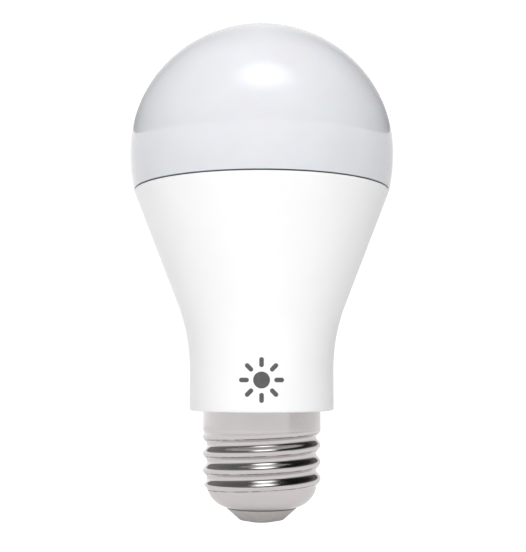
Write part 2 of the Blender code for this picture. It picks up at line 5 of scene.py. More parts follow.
import bmesh
import bpy
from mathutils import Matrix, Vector


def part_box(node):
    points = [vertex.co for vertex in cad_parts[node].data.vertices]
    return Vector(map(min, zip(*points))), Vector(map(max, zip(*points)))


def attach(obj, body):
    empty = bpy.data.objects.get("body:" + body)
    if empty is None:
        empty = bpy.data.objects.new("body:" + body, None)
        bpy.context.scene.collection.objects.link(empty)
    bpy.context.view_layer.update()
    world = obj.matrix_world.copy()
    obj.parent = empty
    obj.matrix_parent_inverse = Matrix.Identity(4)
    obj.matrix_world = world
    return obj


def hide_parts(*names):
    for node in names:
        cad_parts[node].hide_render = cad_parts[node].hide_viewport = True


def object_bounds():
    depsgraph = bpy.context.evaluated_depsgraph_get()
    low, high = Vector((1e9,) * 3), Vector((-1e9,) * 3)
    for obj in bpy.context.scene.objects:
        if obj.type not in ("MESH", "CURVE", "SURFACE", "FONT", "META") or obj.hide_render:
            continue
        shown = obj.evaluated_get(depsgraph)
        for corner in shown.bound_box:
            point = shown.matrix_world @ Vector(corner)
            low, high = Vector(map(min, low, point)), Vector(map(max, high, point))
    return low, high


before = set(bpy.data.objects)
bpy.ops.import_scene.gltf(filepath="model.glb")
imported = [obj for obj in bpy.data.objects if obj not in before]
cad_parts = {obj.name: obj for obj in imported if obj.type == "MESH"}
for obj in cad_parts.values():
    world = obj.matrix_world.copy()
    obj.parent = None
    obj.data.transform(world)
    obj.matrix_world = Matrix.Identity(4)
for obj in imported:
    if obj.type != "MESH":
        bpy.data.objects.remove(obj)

CAD_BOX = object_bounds()
MM = 0.001

# Sizes in millimetres. Most are the CAD's, and those that a node's box gives are read from it.
GLOBE_BOX = [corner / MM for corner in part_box("globe_diffuser")]
SEAL_BOX = [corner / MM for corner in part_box("globe_seal")]
HOUSING_BOX = [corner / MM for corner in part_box("housing_shell")]
SHELL_BOX = [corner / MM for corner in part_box("screw_shell")]
CONTACT_BOX = [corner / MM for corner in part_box("centre_contact")]

GLOBE_RADIUS = GLOBE_BOX[1].x
GLOBE_TOP_Z = GLOBE_BOX[1].z
GLOBE_UPPER_HEIGHT = 29.0
GLOBE_LOWER_HEIGHT = 33.9
GLOBE_CENTRE_Z = GLOBE_TOP_Z - GLOBE_UPPER_HEIGHT
GLOBE_WALL = 1.3
GLOBE_INSIDE_START = 1.5
TONGUE_OUTER_RADIUS = 26.6
TONGUE_BOTTOM_Z = GLOBE_BOX[0].z
TONGUE_WALL = 1.2
TONGUE_RISE = 0.6
TONGUE_CHAMFERS = (0.2, 0.3)
TONGUE_CLEARANCE = 0.3

SEAM_Z = (SEAL_BOX[0].z + SEAL_BOX[1].z) / 2
SEAM_HALF_GAP = 0.14
HOUSING_LIP_Z = SEAM_Z - SEAM_HALF_GAP
GLOBE_LIP_Z = SEAM_Z + SEAM_HALF_GAP
SEAM_RADIUS = 28.6
SEAL_INNER_RADIUS = 27.2
LIP_ROUNDING = 0.12

HOUSING_WALL = 1.3
CONE_SLOPE = 0.39
NECK_RADIUS = 15.95
NECK_BOTTOM_Z = 24.3
NECK_EDGE_ROUNDING = 0.45
COLLAR_GROOVE_RADIUS = 13.35
COLLAR_GROOVE_DEPTH = 0.6
BLEND_RADIUS = 40.0
SPIGOT_RADIUS = 11.3
SPIGOT_WALL = 1.0
SPIGOT_BOTTOM_Z = HOUSING_BOX[0].z

THREAD_PITCH = 25.4 / 7
THREAD_CREST_RADIUS = 13.05
THREAD_DEPTH = 0.95
THREAD_CREST_Z = 16.72
THREAD_FULL_Z = (8.6, 18.6)
THREAD_FADE_Z = (7.0, 20.4)
THREAD_ROWS_PER_TURN = 40
SHELL_TOP_Z = SHELL_BOX[1].z
SHELL_WALL = 0.3
SHELL_COLUMNS = 288
COLLAR_RIM = 0.2
COLLAR_ROW = 0.3
COLLAR_ROWS = 12
BOWL_CENTRE = (6.47, 8.89)
BOWL_RADIUS = 5.83
BOWL_ANGLES = (-18.0, -72.0)
INNER_BOWL_TOP_ANGLE = -25.0
INNER_THREAD_BOTTOM_Z = 8.2
INNER_ROW_STEP = 4

# The painted dark reflection line on the thread's lower flank: place and half width as shares of a
# pitch, then lowest and highest z.
REFLECTION_LINE_PLACE = 0.80
REFLECTION_LINE_HALF_WIDTH = 0.04
REFLECTION_LINE_Z = (6.9, 19.9)
REFLECTION_LINE_FADE = 0.3

INSULATOR_TOP_Z = 6.0
INSULATOR_BOTTOM_Z = 0.5
INSULATOR_BORE_RADIUS = 1.5
INSULATOR_FOOT_RADIUS = 4.85
INSULATOR_FOOT_ROUNDING = 0.15
INSULATOR_CONE = ((5.05, 0.62), (7.5, 2.78))
INSULATOR_SHOULDER = (7.45, 3.0)
INSULATOR_SHOULDER_ROUNDING = 0.2
INSULATOR_NECK_RADIUS = 7.6
INSULATOR_FLANGE_RADIUS = 9.0
INSULATOR_FLANGE_Z = 4.6
# Heights in millimetres of the painted shade band on the insulator under the bowl's lip.
LIP_SHADE_Z = (2.98, 3.04)

CONTACT_RADIUS = CONTACT_BOX[1].x
CONTACT_HEIGHT = 0.7
CONTACT_RECESS = 0.3
CONTACT_FLAT_RADIUS = 1.8
CONTACT_ROUNDING = 0.1
CONTACT_DOME_HEIGHT = 0.5
CONTACT_DOME_POWER = 2.2
RIVET_RADIUS = 1.2
RIVET_TOP_Z = 7.0
RIVET_CHAMFER = 0.1

PICTOGRAM_Z = 31.1
PICTOGRAM_DISC_RADIUS = 1.75
PICTOGRAM_RAY = (2.65, 4.75)
PICTOGRAM_RAY_WIDTH = 0.95
PICTOGRAM_RAY_COUNT = 8
PICTOGRAM_RAY_TIP = 0.03
INK_HEIGHT = 0.02


# ---------------------------------------------------------------- mesh helpers


def finish_piece(name, mesh, material, sharp_angle):
    mesh.materials.append(material)
    mesh.shade_smooth()
    mesh.set_sharp_from_angle(angle=math.radians(sharp_angle))
    piece = bpy.data.objects.new(name, mesh)
    bpy.context.scene.collection.objects.link(piece)
    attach(piece, "root")
    return piece


def ring_mesh(name, rings, closed):
    """A mesh from rings of points of equal length. A ring of one point is a pole."""
    points = []
    starts = []
    for ring in rings:
        starts.append(len(points))
        points += [(x * MM, y * MM, z * MM) for x, y, z in ring]
    columns = max(len(ring) for ring in rings)
    faces = []
    pairs = list(zip(range(len(rings)), range(1, len(rings))))
    if closed:
        pairs.append((len(rings) - 1, 0))
    for lower, upper in pairs:
        for index in range(columns):
            after = (index + 1) % columns
            if len(rings[lower]) == 1:
                faces.append((starts[lower], starts[upper] + after, starts[upper] + index))
            elif len(rings[upper]) == 1:
                faces.append((starts[lower] + index, starts[lower] + after, starts[upper]))
            else:
                faces.append((starts[lower] + index, starts[lower] + after,
                              starts[upper] + after, starts[upper] + index))
    mesh = bpy.data.meshes.new(name)
    mesh.from_pydata(points, [], faces)
    outward(mesh)
    return mesh


def outward(mesh):
    bm = bmesh.new()
    bm.from_mesh(mesh)
    bmesh.ops.recalc_face_normals(bm, faces=bm.faces)
    bm.to_mesh(mesh)
    bm.free()


def turned(name, outline, material, columns=256, sharp_angle=35.0):
    """Spins (r, z) points round Z.

    A closed outline never meets the axis. An open one starts and ends on it.
    """
    rings = []
    for radius, z in outline:
        if radius == 0:
            rings.append([(0.0, 0.0, z)])
        else:
            rings.append(flat_ring(radius, z, columns))
    closed = outline[0][0] > 0
    return finish_piece(name, ring_mesh(name, rings, closed), material, sharp_angle)


def flat_ring(radius, z, columns):
    return [(radius * math.cos(a), radius * math.sin(a), z) for a in angles(columns)]


def angles(columns):
    return [math.tau * index / columns for index in range(columns)]


def on_circle(centre, radius, degrees):
    angle = math.radians(degrees)
    return (centre[0] + radius * math.cos(angle), centre[1] + radius * math.sin(angle))


def arc(centre, radius, start, end, count):
    """Points (r, z) on a circle, from one angle in degrees to another."""
    return [on_circle(centre, radius, start + (end - start) * step / count) for step in range(count + 1)]


def even_steps(start, end, count):
    """Points from start to end, both included."""
    (r0, z0), (r1, z1) = start, end
    return [(r0 + (r1 - r0) * step / count, z0 + (z1 - z0) * step / count) for step in range(count + 1)]


# ---------------------------------------------------------------- outlines


def globe_arc(offset, lowest_z, rings):
    """The globe's outline from the lowest ring up to the pole, moved inwards by offset."""
    lowest = math.asin((lowest_z - GLOBE_CENTRE_Z) / (GLOBE_LOWER_HEIGHT - offset))
    points = []
    for ring in range(rings + 1):
        angle = lowest + (math.pi / 2 - lowest) * ring / rings
        height = GLOBE_UPPER_HEIGHT if angle > 0 else GLOBE_LOWER_HEIGHT
        z = GLOBE_CENTRE_Z + (height - offset) * math.sin(angle)
        radius = (GLOBE_RADIUS - offset) * math.cos(angle) if ring < rings else 0.0
        points.append((radius, z))
    return points


def housing_outline(offset, lowest_z, highest_z, blend_steps):
    """The housing's outside from the neck up to the seam, moved inwards by offset."""
    tilt = math.atan(CONE_SLOPE)
    cone_base = SEAM_RADIUS - CONE_SLOPE * SEAM_Z - offset / math.cos(tilt)
    neck = NECK_RADIUS - offset
    corner_z = (neck - cone_base) / CONE_SLOPE
    tangent = (BLEND_RADIUS + offset) * math.tan(tilt / 2)
    centre = (neck + BLEND_RADIUS + offset, corner_z - tangent)
    blend = arc(centre, BLEND_RADIUS + offset, 180, 180 - math.degrees(tilt), blend_steps)
    return [(neck, lowest_z), *blend, (cone_base + CONE_SLOPE * highest_z, highest_z)]


def housing_radius(z):
    """Radius of the housing's outside at a height on the neck or the blend."""
    _, blend_start = housing_outline(0.0, NECK_BOTTOM_Z, HOUSING_LIP_Z, 1)[1]
    rise = max(0.0, z - blend_start)
    return NECK_RADIUS + BLEND_RADIUS - math.sqrt(BLEND_RADIUS**2 - rise**2)


def smooth_step(value):
    value = min(max(value, 0.0), 1.0)
    return value * value * (3 - 2 * value)


def thread_share(z):
    """How deep the thread is at a height: 1 in the middle, fading to 0 into the collar and the bowl."""
    low_fade, high_fade = THREAD_FADE_Z
    low_full, high_full = THREAD_FULL_Z
    rise = (z - low_fade) / (low_full - low_fade)
    fall = (high_fade - z) / (high_fade - high_full)
    return smooth_step(min(rise, fall))


def thread_radius(angle, z):
    """Radius of the shell's outside. The thread is right-handed: its crest climbs one pitch a turn.

    Crests and roots are a little flatter than a cosine's, and the flanks a little steeper.
    """
    turns = (z - THREAD_CREST_Z) / THREAD_PITCH - angle / math.tau
    from_crest = 2 * abs(turns - round(turns))
    round_wave = 0.5 - 0.5 * math.cos(math.pi * from_crest)
    steep_wave = from_crest**3 * (from_crest * (6 * from_crest - 15) + 10)
    wave = (round_wave + steep_wave) / 2
    base = THREAD_CREST_RADIUS
    if z < THREAD_FULL_Z[0]:
        bowl_top_radius, _ = on_circle(BOWL_CENTRE, BOWL_RADIUS, BOWL_ANGLES[0])
        share = (THREAD_FULL_Z[0] - z) / (THREAD_FULL_Z[0] - THREAD_FADE_Z[0])
        base -= (THREAD_CREST_RADIUS - bowl_top_radius) * smooth_step(share)
    return base - THREAD_DEPTH * thread_share(z) * wave


# ---------------------------------------------------------------- node helpers

# Noise hardly leaves this range.
NOISE_LOW = 0.3
NOISE_HIGH = 0.7


def calculate(tree, operation, *values):
    """A maths node. Each value is a socket or a number."""
    node = tree.nodes.new("ShaderNodeMath")
    node.operation = operation
    for socket, value in zip(node.inputs, values):
        if isinstance(value, (int, float)):
            socket.default_value = value
        else:
            tree.links.new(value, socket)
    return node.outputs["Value"]


def map_range(tree, source, from_low, from_high, low, high, smooth=False):
    """Maps one range of numbers to another. Numbers outside it are held at its ends."""
    node = tree.nodes.new("ShaderNodeMapRange")
    if smooth:
        node.interpolation_type = "SMOOTHSTEP"
    node.inputs["From Min"].default_value = from_low
    node.inputs["From Max"].default_value = from_high
    node.inputs["To Min"].default_value = low
    node.inputs["To Max"].default_value = high
    tree.links.new(source, node.inputs["Value"])
    return node.outputs["Result"]


def colour_ramp(tree, source, stops):
    """A ramp through (place, colour) stops."""
    ramp = tree.nodes.new("ShaderNodeValToRGB")
    elements = ramp.color_ramp.elements
    for index, (place, colour) in enumerate(stops):
        element = elements[index] if index < 2 else elements.new(place)
        element.position = place
        element.color = (*colour, 1)
    tree.links.new(source, ramp.inputs["Fac"])
    return ramp.outputs["Color"]


def grey_ramp(tree, source, stops):
    return colour_ramp(tree, source, [(place, (grey, grey, grey)) for place, grey in stops])


def mix_colours(tree, factor, first, second):
    """Goes from the first colour to the second as the factor goes from 0 to 1.

    The first is a socket. The second is a socket or three numbers.
    """
    mix = tree.nodes.new("ShaderNodeMixRGB")
    tree.links.new(factor, mix.inputs["Fac"])
    tree.links.new(first, mix.inputs["Color1"])
    if isinstance(second, tuple):
        mix.inputs["Color2"].default_value = (*second, 1)
    else:
        tree.links.new(second, mix.inputs["Color2"])
    return mix.outputs["Color"]


# ---------------------------------------------------------------- materials


class Nodes:
    """A short way to write one material's node tree."""

    def __init__(self, name):
        self.material = bpy.data.materials.new(name)
        self.material.use_nodes = True
        self.tree = self.material.node_tree
        self.shader = self.tree.nodes["Principled BSDF"]
        self.position = self.tree.nodes.new("ShaderNodeTexCoord").outputs["Object"]

    def set(self, **values):
        """Sets shader sockets. An underscore stands for a space in a socket's name."""
        for name, value in values.items():
            self.shader.inputs[name.replace("_", " ")].default_value = value

    def add(self, kind):
        return self.tree.nodes.new(kind)

    def link(self, source, target):
        self.tree.links.new(source, target)

    def coordinates(self):
        """X, Y and Z of the place on the surface."""
        parts = self.add("ShaderNodeSeparateXYZ")
        self.link(self.position, parts.inputs["Vector"])
        return parts.outputs["X"], parts.outputs["Y"], parts.outputs["Z"]

    def noise(self, size_mm, detail=2.0, stretch=(1, 1, 1)):
        """Noise whose features are about size_mm across, stretched along the axes."""
        mapping = self.add("ShaderNodeMapping")
        mapping.inputs["Scale"].default_value = [1 / (size_mm * MM * way) for way in stretch]
        self.link(self.position, mapping.inputs["Vector"])
        noise = self.add("ShaderNodeTexNoise")
        noise.inputs["Scale"].default_value = 1.0
        noise.inputs["Detail"].default_value = detail
        self.link(mapping.outputs["Vector"], noise.inputs["Vector"])
        return noise.outputs["Fac"]

    def spread(self, factor, low, high, input_name):
        """Lets noise drive a shader number between two values."""
        number = map_range(self.tree, factor, NOISE_LOW, NOISE_HIGH, low, high)
        self.link(number, self.shader.inputs[input_name])

    def colours(self, factor, first, second):
        """Lets noise drive the base colour between two colours."""
        colour = colour_ramp(self.tree, factor, [(NOISE_LOW, first), (NOISE_HIGH, second)])
        self.link(colour, self.shader.inputs["Base Color"])
        return colour

    def bump(self, factor, height_mm, strength):
        """Adds relief of about height_mm to the normal, on top of any relief added before."""
        bump = self.add("ShaderNodeBump")
        bump.inputs["Distance"].default_value = height_mm * MM
        bump.inputs["Strength"].default_value = strength
        self.link(factor, bump.inputs["Height"])
        normal = self.shader.inputs["Normal"]
        if normal.links:
            self.link(normal.links[0].from_socket, bump.inputs["Normal"])
        self.link(bump.outputs["Normal"], normal)


def opal_plastic():
    nodes = Nodes("opal_plastic")
    nodes.set(Roughness=0.42, Specular_IOR_Level=0.0)
    nodes.set(Coat_Weight=1.0, Coat_Roughness=0.015, Coat_IOR=1.6)
    nodes.set(Subsurface_Weight=0.2, Subsurface_Scale=0.004)
    nodes.colours(nodes.noise(9.0), (0.652, 0.656, 0.688), (0.670, 0.674, 0.704))
    nodes.bump(nodes.noise(0.35), 0.002, 0.25)
    return nodes.material


def white_plastic():
    nodes = Nodes("white_plastic")
    nodes.set(Specular_IOR_Level=0.5)
    nodes.colours(nodes.noise(12.0), (0.86, 0.86, 0.862), (0.88, 0.88, 0.88))
    nodes.spread(nodes.noise(4.0), 0.28, 0.34, "Roughness")
    nodes.bump(nodes.noise(0.25), 0.002, 0.3)
    return nodes.material


def seal_rubber():
    nodes = Nodes("seal_rubber")
    nodes.set(Roughness=0.7)
    nodes.colours(nodes.noise(0.8), (0.045, 0.045, 0.05), (0.075, 0.075, 0.08))
    nodes.bump(nodes.noise(0.3), 0.01, 0.5)
    return nodes.material


def nickel_plate():
    """Bright rolled plating, with a thin dark line painted along the thread's lower flank: a painted
    reflection of the shade under the bulb.
    """
    nodes = Nodes("nickel_plate")
    nodes.set(Metallic=1.0)
    plate = nodes.colours(nodes.noise(9.0), (0.60, 0.575, 0.565), (0.62, 0.585, 0.58))
    # Painted reflection: a thin near-black line on the lower flank stands in for the mirrored shade
    # under the bulb.
    dark = mix_colours(nodes.tree, painted_reflection_mask(nodes), plate, (0.045, 0.042, 0.042))
    nodes.link(dark, nodes.shader.inputs["Base Color"])
    nodes.spread(nodes.noise(1.2, 3.0, (1, 1, 0.12)), 0.14, 0.20, "Roughness")
    nodes.bump(nodes.noise(0.5, 3.0, (8, 8, 0.2)), 0.0008, 0.5)
    return nodes.material


def painted_reflection_mask(nodes):
    """1 on the painted dark reflection line that follows the thread, 0 beside it, and weaker in patches
    set by noise.
    """
    tree = nodes.tree
    x, y, z = nodes.coordinates()
    low, high = REFLECTION_LINE_Z
    angle = calculate(tree, "ARCTAN2", y, x)
    climb = calculate(tree, "DIVIDE", z, THREAD_PITCH * MM)
    from_crest = calculate(tree, "SUBTRACT", climb, THREAD_CREST_Z / THREAD_PITCH)
    turns = calculate(tree, "MULTIPLY_ADD", angle, -1 / math.tau, from_crest)
    across = calculate(tree, "SUBTRACT", calculate(tree, "FRACT", turns), REFLECTION_LINE_PLACE)
    line = map_range(tree, calculate(tree, "ABSOLUTE", across), 0.0, REFLECTION_LINE_HALF_WIDTH, 1.0, 0.0)
    below = map_range(tree, z, high * MM, (high + REFLECTION_LINE_FADE) * MM, 1.0, 0.0)
    above = map_range(tree, z, (low - REFLECTION_LINE_FADE) * MM, low * MM, 0.0, 1.0)
    dashes = map_range(tree, nodes.noise(1.5, 2.0, (1, 1, 0.3)), 0.38, 0.52, 0.25, 1.0)
    share = calculate(tree, "MULTIPLY", calculate(tree, "MULTIPLY", below, above), dashes)
    return calculate(tree, "MULTIPLY", line, share)


def grey_insulator():
    """Grey body, painted dark as shade where it goes under the bowl's lip."""
    nodes = Nodes("grey_insulator")
    nodes.set(Specular_IOR_Level=0.5)
    grey = nodes.colours(nodes.noise(1.5), (0.43, 0.402, 0.39), (0.48, 0.452, 0.44))
    _, _, z = nodes.coordinates()
    # Painted shade: a dark band just below the bowl's lip, where the lip shades the insulator.
    lip_shade = map_range(nodes.tree, z, LIP_SHADE_Z[0] * MM, LIP_SHADE_Z[1] * MM, 0.0, 1.0)
    shade = mix_colours(nodes.tree, lip_shade, grey, (0.15, 0.14, 0.135))
    nodes.link(shade, nodes.shader.inputs["Base Color"])
    nodes.spread(nodes.noise(0.8), 0.32, 0.45, "Roughness")
    nodes.bump(nodes.noise(0.2), 0.004, 0.4)
    return nodes.material


def contact_metal():
    nodes = Nodes("contact_metal")
    nodes.set(Metallic=1.0)
    nodes.colours(nodes.noise(1.0), (0.66, 0.63, 0.57), (0.72, 0.70, 0.66))
    nodes.spread(nodes.noise(0.4, 4.0), 0.22, 0.42, "Roughness")
    nodes.bump(nodes.noise(0.5, 4.0), 0.006, 0.4)
    return nodes.material


def printed_ink():
    nodes = Nodes("printed_ink")
    nodes.set(Specular_IOR_Level=0.4)
    nodes.colours(nodes.noise(0.6, 4.0), (0.082, 0.082, 0.084), (0.098, 0.098, 0.100))
    nodes.spread(nodes.noise(0.3), 0.38, 0.5, "Roughness")
    return nodes.material


def simple_plastic(name, first, second, roughness, grain_mm):
    """Moulded or coated plastic: two close colours, uneven gloss and a fine grain."""
    nodes = Nodes(name)
    nodes.colours(nodes.noise(grain_mm * 4), first, second)
    nodes.spread(nodes.noise(grain_mm * 2), roughness - 0.06, roughness + 0.06, "Roughness")
    nodes.bump(nodes.noise(grain_mm), 0.01, 0.4)
    return nodes.material


def simple_metal(name, first, second, roughness, stretch):
    """Rolled or plated metal with streaks along the stretched axes."""
    nodes = Nodes(name)
    nodes.set(Metallic=1.0)
    nodes.colours(nodes.noise(1.5, 3.0, stretch), first, second)
    nodes.spread(nodes.noise(0.4, 4.0, stretch), roughness - 0.08, roughness + 0.08, "Roughness")
    nodes.bump(nodes.noise(0.3, 4.0, stretch), 0.004, 0.5)
    return nodes.material


# ---------------------------------------------------------------- pieces


def build_globe(material):
    """The opal shell: open below, with a tongue that plugs into the housing."""
    inner_radius = TONGUE_OUTER_RADIUS - TONGUE_WALL
    inner_chamfer, outer_chamfer = TONGUE_CHAMFERS
    outside = globe_arc(0.0, GLOBE_LIP_Z + LIP_ROUNDING, rings=110)
    lip_radius = outside[0][0]
    lip_centre = (lip_radius - LIP_ROUNDING, GLOBE_LIP_Z + LIP_ROUNDING)
    lip = arc(lip_centre, LIP_ROUNDING, -90, -15, count=4)
    tongue = [
        (inner_radius, GLOBE_LIP_Z + TONGUE_RISE),
        (inner_radius, TONGUE_BOTTOM_Z + inner_chamfer),
        (inner_radius + inner_chamfer, TONGUE_BOTTOM_Z),
        (TONGUE_OUTER_RADIUS - outer_chamfer, TONGUE_BOTTOM_Z),
        (TONGUE_OUTER_RADIUS, TONGUE_BOTTOM_Z + outer_chamfer),
        (TONGUE_OUTER_RADIUS, GLOBE_LIP_Z),
    ]
    inside = globe_arc(GLOBE_WALL, GLOBE_LIP_Z + GLOBE_INSIDE_START, rings=60)
    outline = [*reversed(inside), *tongue, *lip, *outside]
    piece = turned("globe_skin", outline, material)
    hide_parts("globe_diffuser")


def build_seal(material):
    low, high = SEAL_BOX
    half = (high.z - low.z) / 2
    bead = arc((high.x - half, SEAM_Z), half, -90, 90, count=8)
    outline = [(SEAL_INNER_RADIUS, low.z), *bead, (SEAL_INNER_RADIUS, high.z)]
    piece = turned("seal_bead", outline, material)
    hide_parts("globe_seal")


def build_housing(material):
    """Cone and neck, with the groove round the collar and the spigot inside the screw shell."""
    bore = TONGUE_OUTER_RADIUS + TONGUE_CLEARANCE
    ledge_z = TONGUE_BOTTOM_Z - TONGUE_CLEARANCE
    edge_z = NECK_BOTTOM_Z + NECK_EDGE_ROUNDING
    lip_z = HOUSING_LIP_Z - LIP_ROUNDING
    groove_z = NECK_BOTTOM_Z + COLLAR_GROOVE_DEPTH
    neck_floor_z = NECK_BOTTOM_Z + HOUSING_WALL
    spigot_inner = SPIGOT_RADIUS - SPIGOT_WALL

    outside = housing_outline(0.0, edge_z, lip_z, blend_steps=40)
    edge_centre = (NECK_RADIUS - NECK_EDGE_ROUNDING, edge_z)
    edge = arc(edge_centre, NECK_EDGE_ROUNDING, -90, -9, count=8)
    neck = even_steps(outside[0], outside[1], count=12)
    cone = even_steps(outside[-2], outside[-1], count=30)
    lip_radius = outside[-1][0]
    lip = arc((lip_radius - LIP_ROUNDING, lip_z), LIP_ROUNDING, 15, 90, count=4)
    inside = housing_outline(HOUSING_WALL, neck_floor_z, ledge_z, blend_steps=12)
    outline = [
        (spigot_inner, SPIGOT_BOTTOM_Z), (SPIGOT_RADIUS, SPIGOT_BOTTOM_Z),
        (SPIGOT_RADIUS, groove_z), (COLLAR_GROOVE_RADIUS, groove_z),
        (COLLAR_GROOVE_RADIUS, NECK_BOTTOM_Z),
        *edge, *neck, *outside[2:-2], *cone, *lip,
        (bore, HOUSING_LIP_Z), (bore, ledge_z), *reversed(inside), (spigot_inner, neck_floor_z),
    ]
    piece = turned("housing_skin", outline, material)
    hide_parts("housing_shell")


def build_screw_shell(material):
    """The rolled sheet: collar with a rounded rim, thread, and bowl with a turned-in lip."""
    half_wall = SHELL_WALL / 2
    rim_centre = (THREAD_CREST_RADIUS - half_wall, SHELL_TOP_Z - half_wall)
    rim = arc(rim_centre, half_wall, 180, 15, count=6)
    heights = [SHELL_TOP_Z - COLLAR_RIM - COLLAR_ROW * row for row in range(COLLAR_ROWS)]
    z = THREAD_FADE_Z[1]
    while z > THREAD_FADE_Z[0]:
        heights.append(z)
        z -= THREAD_PITCH / THREAD_ROWS_PER_TURN
    bowl = arc(BOWL_CENTRE, BOWL_RADIUS, *BOWL_ANGLES, count=24)
    bowl_end = BOWL_ANGLES[1]
    lip_centre = on_circle(BOWL_CENTRE, BOWL_RADIUS - half_wall, bowl_end)
    lip = arc(lip_centre, half_wall, bowl_end - 30, bowl_end - 150, count=5)
    inner_bowl = arc(BOWL_CENTRE, BOWL_RADIUS - SHELL_WALL, bowl_end, INNER_BOWL_TOP_ANGLE, count=12)

    rings = [flat_ring(radius, height, SHELL_COLUMNS) for radius, height in rim]
    rings += [thread_ring(height, 0.0) for height in heights]
    rings += [flat_ring(radius, height, SHELL_COLUMNS) for radius, height in bowl + lip + inner_bowl]
    for height in reversed(heights[::INNER_ROW_STEP]):
        if height > INNER_THREAD_BOTTOM_Z:
            rings.append(thread_ring(height, SHELL_WALL))
    mesh = ring_mesh("screw_shell_skin", rings, closed=True)
    piece = finish_piece("screw_shell_skin", mesh, material, sharp_angle=60)
    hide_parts("screw_shell")


def thread_ring(z, offset):
    """A ring of points on the shell's outside at a height, moved inwards by offset."""
    ring = []
    for angle in angles(SHELL_COLUMNS):
        radius = thread_radius(angle, z) - offset
        ring.append((radius * math.cos(angle), radius * math.sin(angle), z))
    return ring


def build_insulator(material):
    """A cone under the bowl, a flange inside it, and a recess and bore for the contact and its rivet."""
    recess_radius = CONTACT_RADIUS + CONTACT_RECESS
    recess_z = CONTACT_HEIGHT + CONTACT_RECESS
    foot_centre = (INSULATOR_FOOT_RADIUS, INSULATOR_BOTTOM_Z + INSULATOR_FOOT_ROUNDING)
    foot = arc(foot_centre, INSULATOR_FOOT_ROUNDING, -90, -45, count=4)
    shoulder = arc(INSULATOR_SHOULDER, INSULATOR_SHOULDER_ROUNDING, -45, 0, count=4)
    outline = [
        (INSULATOR_BORE_RADIUS, recess_z), (recess_radius, recess_z),
        (recess_radius, INSULATOR_BOTTOM_Z),
        *foot, *even_steps(*INSULATOR_CONE, count=14), *shoulder,
        (INSULATOR_NECK_RADIUS, INSULATOR_FLANGE_Z), (INSULATOR_FLANGE_RADIUS, INSULATOR_FLANGE_Z),
        (INSULATOR_FLANGE_RADIUS, INSULATOR_TOP_Z), (INSULATOR_BORE_RADIUS, INSULATOR_TOP_Z),
    ]
    piece = turned("insulator_skin", outline, material, columns=160, sharp_angle=30)
    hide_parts("base_insulator")


def build_contact(material):
    """A low dome with a flat middle, and the rivet stem above it."""
    steps = 16
    edge_centre = (CONTACT_RADIUS - CONTACT_ROUNDING, CONTACT_HEIGHT - CONTACT_ROUNDING)
    dome = []
    for step in range(steps + 1):
        share = step / steps
        radius = CONTACT_FLAT_RADIUS + (edge_centre[0] - CONTACT_FLAT_RADIUS) * share
        dome.append((radius, CONTACT_DOME_HEIGHT * share**CONTACT_DOME_POWER))
    edge = arc(edge_centre, CONTACT_ROUNDING, -60, 90, count=5)
    outline = [
        (0.0, 0.0), *dome, *edge,
        (RIVET_RADIUS, CONTACT_HEIGHT), (RIVET_RADIUS, RIVET_TOP_Z - RIVET_CHAMFER),
        (RIVET_RADIUS - RIVET_CHAMFER, RIVET_TOP_Z), (0.0, RIVET_TOP_Z),
    ]
    piece = turned("contact_skin", outline, material, columns=128)
    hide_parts("centre_contact")


def build_pictogram(material):
    """A generic brightness sign, a disc with short rays, as a thin layer of ink on the neck."""
    patches = [disc_patch(PICTOGRAM_DISC_RADIUS)]
    for index in range(PICTOGRAM_RAY_COUNT):
        patches.append(ray_patch(math.tau * index / PICTOGRAM_RAY_COUNT))
    bm = bmesh.new()
    for points, faces in patches:
        add_ink_patch(bm, points, faces)
    mesh = bpy.data.meshes.new("brightness_sign")
    bm.to_mesh(mesh)
    bm.free()
    outward(mesh)
    piece = finish_piece("brightness_sign", mesh, material, sharp_angle=60)


def disc_patch(radius):
    """Flat (across, up) points and faces of a disc."""
    columns = 64
    rings = 6
    points = [(0.0, 0.0)]
    faces = []
    for ring in range(1, rings + 1):
        for a in angles(columns):
            points.append((radius * ring / rings * math.cos(a), radius * ring / rings * math.sin(a)))
    for index in range(columns):
        after = (index + 1) % columns
        faces.append((0, 1 + index, 1 + after))
        for ring in range(rings - 1):
            inner = 1 + ring * columns
            outer = inner + columns
            faces.append((inner + index, outer + index, outer + after, inner + after))
    return points, faces


def ray_patch(turn):
    """Flat (across, up) points and faces of one ray with round ends."""
    near, far = PICTOGRAM_RAY
    half = PICTOGRAM_RAY_WIDTH / 2
    rows = 25
    across = 6
    points = []
    faces = []
    for row in range(rows):
        along = near + (far - near) * row / (rows - 1)
        from_end = min(along - near, far - along)
        into_tip = max(0.0, 1 - from_end / half)
        width = half * math.sqrt(max(PICTOGRAM_RAY_TIP, 1 - into_tip**2))
        for column in range(across + 1):
            side = width * (2 * column / across - 1)
            points.append((along * math.cos(turn) - side * math.sin(turn),
                           along * math.sin(turn) + side * math.cos(turn)))
    for row in range(rows - 1):
        for column in range(across):
            corner = row * (across + 1) + column
            faces.append((corner, corner + 1, corner + across + 2, corner + across + 1))
    return points, faces


def add_ink_patch(bm, points, faces):
    """Wraps flat points round the neck's front, gives them thickness and adds them to the mesh."""
    layers = []
    for lift in (INK_HEIGHT, -INK_HEIGHT):
        verts = []
        for across, up in points:
            z = PICTOGRAM_Z + up
            radius = housing_radius(z)
            angle = across / radius - math.pi / 2
            radius += lift
            x = radius * math.cos(angle)
            y = radius * math.sin(angle)
            verts.append(bm.verts.new((x * MM, y * MM, z * MM)))
        layers.append(verts)
    top, bottom = layers
    edges = {}
    for face in faces:
        bm.faces.new([top[i] for i in face])
        bm.faces.new([bottom[i] for i in reversed(face)])
        for pair in zip(face, face[1:] + face[:1]):
            key = tuple(sorted(pair))
            edges[key] = None if key in edges else pair
    for pair in edges.values():
        if pair:
            first, second = pair
            bm.faces.new((top[second], top[first], bottom[first], bottom[second]))


# ---------------------------------------------------------------- inside pieces


